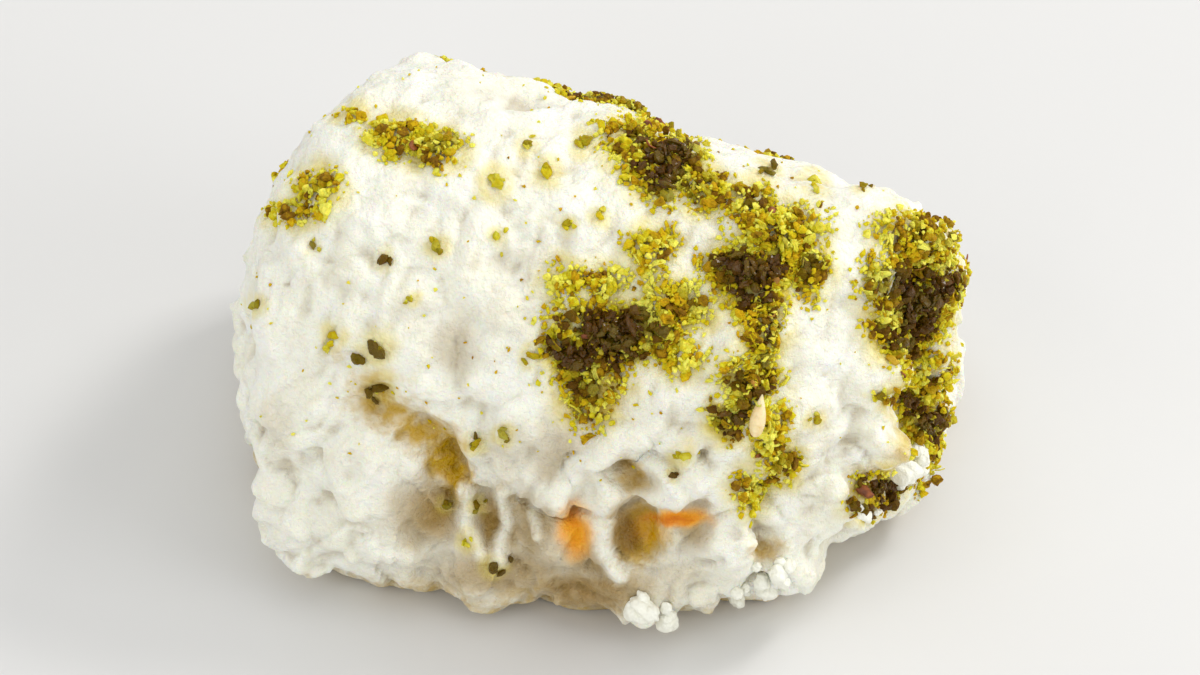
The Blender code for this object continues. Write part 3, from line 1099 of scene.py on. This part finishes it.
def flake_material(colours):
    """Red-brown flakes, some of them paler and more golden."""
    material, tree, shader = new_material("red_brown_flakes")
    tone = mixed(tree, mottle(tree, 0.7), colours.flake, colours.flake_dark)
    tone = mixed(tree, ranged(tree, read_layer(tree, "tint"), 0.3, 1.0), tone, colours.herb_gold)
    tree.links.new(tone, shader.inputs["Base Color"])
    tree.links.new(ranged(tree, mottle(tree, 0.5), 0.0, 1.0, 0.35, 0.6), shader.inputs["Roughness"])
    add_bump(tree, shader, mottle(tree, 0.3, 4.0), 0.06)
    return material


def sesame_material(colours):
    """A cream sesame seed with browner patches, with a satin skin."""
    material, tree, shader = new_material("sesame_skin")
    tone = mixed(tree, mottle(tree, 0.9), colours.sesame, colours.sesame_tip)
    tree.links.new(tone, shader.inputs["Base Color"])
    tree.links.new(ranged(tree, mottle(tree, 0.4), 0.0, 1.0, 0.3, 0.5), shader.inputs["Roughness"])
    shader.inputs["Subsurface Weight"].default_value = 0.3
    shader.inputs["Subsurface Radius"].default_value = (1.0, 0.7, 0.3)
    shader.inputs["Subsurface Scale"].default_value = 0.6 * MM
    add_bump(tree, shader, mottle(tree, 0.25, 3.0), 0.03)
    return material


def floor_material(colours):
    """Plain pale matt board."""
    material, tree, shader = new_material("pale_floor")
    tone = mixed(tree, mottle(tree, 60.0), colours.floor, [c * 0.985 for c in colours.floor])
    tree.links.new(tone, shader.inputs["Base Color"])
    shader.inputs["Roughness"].default_value = 0.7
    return material


def finish_piece(piece, material, replaces=None):
    """Dresses a piece, ties it to the body and hides the solid it stands for, if one is given."""
    piece.data.materials.clear()
    piece.data.materials.append(material)
    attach(piece, "root")
    if replaces:
        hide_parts(replaces)


# What a user would change


def amount(name, description, default):
    """A number that can't be negative, such as a length in millimetres."""
    return bpy.props.FloatProperty(
        name=name, description=description, default=default, min=0.0, soft_max=10 * default
    )


def power(name, description, default):
    return bpy.props.FloatProperty(name=name, description=description, default=default, unit="POWER")


def colour(name, description, default):
    return bpy.props.FloatVectorProperty(
        name=name, description=description, default=default, size=3, min=0.0, max=1.0, subtype="COLOR"
    )


class FETA_PG_form(bpy.types.PropertyGroup):
    sphere_level: bpy.props.IntProperty(
        name="Start Level", description="Subdivisions of the start shape", default=7, min=3, max=8
    )
    face_size: amount("Face Size", "Width of a face of the finished cheese, in millimetres", 0.37)
    crag_shift: amount("Crag Shift", "How far the crags are pushed about, in millimetres", 1.0)
    granule_size: amount("Granule Size", "Width of a curd granule, in millimetres", 2.1)
    granule_height: amount("Granule Height", "Height of a curd granule, in millimetres", 0.38)
    ledge_height: amount("Ledge Height", "Height of the broken steps, in millimetres", 0.55)
    pore_size: amount("Pore Spacing", "Distance between pores, in millimetres", 2.4)
    pore_depth: amount("Pore Depth", "Depth of the pores, in millimetres", 0.35)
    groove_depth: amount("Groove Depth", "Depth of the fine drag lines, in millimetres", 0.34)
    dimple_height: amount("Dimple Height", "Height of the soft dimples, in millimetres", 0.5)
    grain_height: amount("Grain Height", "Height of the finest grain, in millimetres", 0.11)


class FETA_PG_herbs(bpy.types.PropertyGroup):
    crumb_density: amount("Crumb Density", "Crumbs for each square millimetre of heap", 5.5)
    leaf_density: amount("Leaf Density", "Leaf flakes for each square millimetre of heap", 1.0)
    dust_density: amount("Dust Density", "Fine grains for each square millimetre of heap", 12.0)
    speck_count: bpy.props.IntProperty(name="Specks", description="Fine specks all over", default=420, min=0)
    red_flake_share: amount("Red Flakes", "Red-brown flakes for each square millimetre of heap", 0.05)
    crumb_size: amount("Crumb Size", "Largest crumb, in millimetres", 1.05)


class FETA_PG_colours(bpy.types.PropertyGroup):
    curd: colour("Curd", "Lit curd", (0.935, 0.94, 0.845))
    # the second curd tone, also used as painted shade along the drag lines
    curd_shade: colour("Curd Shade", "Second tone of the curd", (0.79, 0.765, 0.635))
    # painted shade: the warm brown that darkens the hollows and recesses
    hollow_shade: colour("Hollow", "Tint in the hollows", (0.36, 0.23, 0.055))
    oil: colour("Oil", "Curd that oil has soaked into", (0.54, 0.33, 0.003))
    # painted shade: the oil colour darkened for the deepest hollows
    shaded_oil: colour("Deep Oil", "Oil in the deepest hollows", (0.24, 0.125, 0.003))
    orange: colour("Orange", "Orange marks", (0.98, 0.45, 0.004))
    rust: colour("Rust", "Rust-brown lines", (0.68, 0.20, 0.004))
    herb_stain: colour("Herb Stain", "Oily tint round the herbs", (0.80, 0.66, 0.10))
    herb_soak: colour("Herb Soak", "Curd soaked under the herbs", (0.56, 0.42, 0.02))
    herb_bright: colour("Bright Herb", "Driest herbs", (0.92, 0.86, 0.13))
    herb_green: colour("Green Herb", "Most of the herbs", (0.68, 0.58, 0.010))
    herb_gold: colour("Golden Herb", "Toasted herbs", (0.62, 0.38, 0.004))
    herb_brown: colour("Brown Herb", "Brown bits", (0.20, 0.10, 0.004))
    herb_soaked: colour("Soaked Herb", "Herbs soaked in oil", (0.070, 0.027, 0.0005))
    flake: colour("Red Flake", "Red-brown flakes", (0.36, 0.10, 0.02))
    flake_dark: colour("Dark Flake", "Second tone of the flakes", (0.14, 0.035, 0.01))
    sesame: colour("Sesame", "Skin of a sesame seed", (0.86, 0.74, 0.46))
    sesame_tip: colour("Sesame Tip", "Second tone of the seed", (0.74, 0.55, 0.25))
    floor: colour("Floor", "The pale floor", (0.70, 0.70, 0.70))


class FETA_PG_stage(bpy.types.PropertyGroup):
    lens: bpy.props.FloatProperty(name="Lens", description="Focal length", default=200.0, unit="CAMERA")
    view_width: amount("View Width", "Width that the view takes in at the piece, in millimetres", 94.0)
    key_power: power("Key Light", "Power of the key light", 2.2)
    fill_power: power("Fill Light", "Power of the fill light", 1.6)
    sky: amount("Sky", "Strength of the light from all round", 0.66)


# Operators


class FETA_OT_add_cheese(bpy.types.Operator):
    """Add the broken piece of feta"""

    bl_idname = "feta.add_cheese"
    bl_label = "Add Cheese"

    def execute(self, context):
        cheese = add_cheese(context.scene.feta_form)
        finish_piece(cheese, feta_material(context.scene.feta_colours), replaces="feta")
        return {"FINISHED"}


def find_cheese():
    cheese = bpy.data.objects.get("feta_cheese")
    if cheese is None:
        raise RuntimeError("Add the cheese first")
    return cheese


class FETA_OT_add_white_crumbs(bpy.types.Operator):
    """Add the loose white crumbs on the cheese"""

    bl_idname = "feta.add_white_crumbs"
    bl_label = "Add White Crumbs"

    def execute(self, context):
        surface = Surface(find_cheese())
        draw = random.Random(WHITE_CRUMB_DRAW)
        shapes = lump_shapes(count=8, level=4, unevenness=0.28, seed=40)
        copies = []
        for right, up, size in WHITE_CRUMBS:
            for share in CRUMB_LOBES:
                reach = CRUMB_LOOSENESS * (1 - share) * size
                shift = RIGHT * draw.gauss(0, reach) + UP * draw.gauss(0, reach)
                start, _, _, inward = front_frame(right, up)
                where, normal = surface.hit(start + shift, inward)
                if where is None:
                    where, normal = Vector(front_place(right, up) + shift), Vector(-SIGHT)
                matrix = laid(where, normal, share * size, 0.85, draw, 0.12 * size)
                copies.append(Copy(draw.randrange(len(shapes)), matrix))
        crumbs = join_copies("white_crumbs", shapes, copies, rounded=True)
        finish_piece(crumbs, crumb_material(context.scene.feta_colours))
        return {"FINISHED"}


class FETA_OT_add_herb_crumbs(bpy.types.Operator):
    """Add the heaps of herb crumbs"""

    bl_idname = "feta.add_herb_crumbs"
    bl_label = "Add Herb Crumbs"

    def execute(self, context):
        herbs = context.scene.feta_herbs
        surface = Surface(find_cheese())
        draw = random.Random(HERB_CRUMB_DRAW)
        shapes = lump_shapes(count=10, level=2, unevenness=0.7, seed=60)
        filling = Filling(herbs.crumb_density, (0.3, herbs.crumb_size), 0.75, crumb_tint, lift=0.9)
        copies = fill_heaps(surface, filling, len(shapes), draw)
        add_strays(copies, surface, len(shapes), draw)
        material = herb_material(context.scene.feta_colours)
        dry = [copy for copy in copies if copy.wet < SOAKED_FROM]
        soaked = [copy for copy in copies if copy.wet >= SOAKED_FROM]
        finish_piece(join_copies("herb_crumbs", shapes, dry), material)
        finish_piece(join_copies("soaked_herb_crumbs", shapes, soaked), material)
        return {"FINISHED"}


class FETA_OT_add_leaf_flakes(bpy.types.Operator):
    """Add the flakes and stems of dried leaf"""

    bl_idname = "feta.add_leaf_flakes"
    bl_label = "Add Leaf Flakes"

    def execute(self, context):
        herbs = context.scene.feta_herbs
        surface = Surface(find_cheese())
        draw = random.Random(LEAF_DRAW)
        shapes = leaf_shapes(count=8, seed=80) + stem_shapes(count=3, seed=81)
        filling = Filling(herbs.leaf_density, (0.5, 1.3), 1.0, dust_tint, reach=1.15, on_top=0.4)
        copies = fill_heaps(surface, filling, len(shapes), draw)
        leaves = join_copies("leaf_flakes", shapes, copies, rounded=True)
        finish_piece(leaves, bpy.data.materials["dried_herbs"])
        return {"FINISHED"}


class FETA_OT_add_herb_dust(bpy.types.Operator):
    """Add the fine herb grains in and round the heaps"""

    bl_idname = "feta.add_herb_dust"
    bl_label = "Add Herb Dust"

    def execute(self, context):
        herbs = context.scene.feta_herbs
        surface = Surface(find_cheese())
        draw = random.Random(DUST_DRAW)
        shapes = lump_shapes(count=6, level=1, unevenness=0.8, seed=90)
        filling = Filling(herbs.dust_density, (0.2, 0.65), 0.8, dust_tint, reach=1.3, on_top=0.7)
        copies = fill_heaps(surface, filling, len(shapes), draw)
        copies += scatter_dust(surface, herbs.speck_count, len(shapes), draw)
        dust = join_copies("herb_dust", shapes, copies)
        finish_piece(dust, bpy.data.materials["dried_herbs"])
        return {"FINISHED"}


class FETA_OT_add_red_flakes(bpy.types.Operator):
    """Add the few red-brown flakes"""

    bl_idname = "feta.add_red_flakes"
    bl_label = "Add Red Flakes"

    def execute(self, context):
        herbs = context.scene.feta_herbs
        surface = Surface(find_cheese())
        draw = random.Random(RED_FLAKE_DRAW)
        lumps_too = lump_shapes(count=3, level=2, unevenness=0.5, seed=117)
        shapes = leaf_shapes(count=5, seed=116) + lumps_too
        filling = Filling(herbs.red_flake_share, (0.8, 1.8), 0.7, dust_tint, lift=1.1, reach=1.2)
        copies = fill_heaps(surface, filling, len(shapes), draw)
        flakes = join_copies("red_brown_flakes", shapes, copies, rounded=True)
        finish_piece(flakes, flake_material(context.scene.feta_colours))
        return {"FINISHED"}


class FETA_OT_add_sesame(bpy.types.Operator):
    """Add the sesame seeds"""

    bl_idname = "feta.add_sesame"
    bl_label = "Add Sesame Seeds"

    def execute(self, context):
        surface = Surface(find_cheese())
        copies = []
        for right, up, turn in SESAME_SEEDS:
            start, _, _, inward = front_frame(right, up)
            where, _ = surface.hit(start, inward)
            facing = Matrix((RIGHT, UP, -SIGHT)).transposed().to_quaternion()
            lie = facing @ Quaternion((0, 0, 1), math.radians(turn))
            place = (where + Vector(-SIGHT) * SEED_LIFT) * MM
            copies.append(Copy(0, Matrix.LocRotScale(place, lie, Vector(SEED_SIZE) * MM)))
        seeds = join_copies("sesame_seeds", [seed_shape()], copies, rounded=True)
        finish_piece(seeds, sesame_material(context.scene.feta_colours))
        return {"FINISHED"}


class FETA_OT_add_stage(bpy.types.Operator):
    """Add the pale floor, the lights and the camera"""

    bl_idname = "feta.add_stage"
    bl_label = "Add Stage"

    def execute(self, context):
        stage, colours = context.scene.feta_stage, context.scene.feta_colours
        deselect_all()
        bpy.ops.mesh.primitive_plane_add(size=FLOOR_SIZE, location=(0, 0, -FLOOR_DROP))
        floor = context.object
        floor.name = "floor"
        floor.data.materials.append(floor_material(colours))
        for name, place, size, setting, share, tone in LIGHTS:
            add_light(name, place, size, share * getattr(stage, setting), tone)
        add_sky(stage.sky)
        add_camera(stage)
        context.scene.view_settings.view_transform = "Standard"
        return {"FINISHED"}


def add_light(name, place, size, power, tone):
    bpy.ops.object.light_add(type="AREA", location=place)
    light = bpy.context.object
    light.name = name
    light.data.size = size
    light.data.energy = power
    light.data.color = tone
    light.rotation_euler = (AIM - Vector(place)).to_track_quat("-Z", "Y").to_euler()


def add_sky(strength):
    world = bpy.data.worlds.new("pale sky")
    world.use_nodes = True
    background = world.node_tree.nodes["Background"]
    background.inputs["Color"].default_value = (*SKY_TONE, 1.0)
    background.inputs["Strength"].default_value = strength
    bpy.context.scene.world = world


def add_camera(stage):
    distance = stage.view_width * MM * stage.lens / SENSOR_WIDTH
    bpy.ops.object.camera_add(location=AIM - Vector(SIGHT) * distance)
    camera = bpy.context.object
    camera.data.lens = stage.lens
    camera.data.sensor_width = SENSOR_WIDTH
    camera.data.clip_start = NEAREST_SEEN
    camera.rotation_euler = Vector(SIGHT).to_track_quat("-Z", "Y").to_euler()
    bpy.context.scene.camera = camera


class FETA_PT_panel(bpy.types.Panel):
    bl_label = "Feta Cheese"
    bl_idname = "FETA_PT_panel"
    bl_space_type = "VIEW_3D"
    bl_region_type = "UI"
    bl_category = "Feta"

    def draw(self, context):
        for operator in OPERATORS:
            self.layout.operator(operator.bl_idname)
        for group in PROPERTY_GROUPS:
            settings = getattr(context.scene, group)
            box = self.layout.box()
            for key in settings.bl_rna.properties.keys():
                if key not in ("rna_type", "name"):
                    box.prop(settings, key)


OPERATORS = (
    FETA_OT_add_stage,
    FETA_OT_add_cheese,
    FETA_OT_add_white_crumbs,
    FETA_OT_add_herb_crumbs,
    FETA_OT_add_leaf_flakes,
    FETA_OT_add_herb_dust,
    FETA_OT_add_red_flakes,
    FETA_OT_add_sesame,
)
PROPERTY_GROUPS = {
    "feta_form": FETA_PG_form,
    "feta_herbs": FETA_PG_herbs,
    "feta_colours": FETA_PG_colours,
    "feta_stage": FETA_PG_stage,
}
CLASSES = (*PROPERTY_GROUPS.values(), *OPERATORS, FETA_PT_panel)


def register():
    for item in CLASSES:
        bpy.utils.register_class(item)
    for name, group in PROPERTY_GROUPS.items():
        setattr(bpy.types.Scene, name, bpy.props.PointerProperty(type=group))


def unregister():
    for name in PROPERTY_GROUPS:
        delattr(bpy.types.Scene, name)
    for item in reversed(CLASSES):
        bpy.utils.unregister_class(item)


def main():
    register()
    bpy.ops.feta.add_stage()
    bpy.ops.feta.add_cheese()
    bpy.ops.feta.add_white_crumbs()
    bpy.ops.feta.add_herb_crumbs()
    bpy.ops.feta.add_leaf_flakes()
    bpy.ops.feta.add_herb_dust()
    bpy.ops.feta.add_red_flakes()
    bpy.ops.feta.add_sesame()


if __name__ == "__main__":
    main()
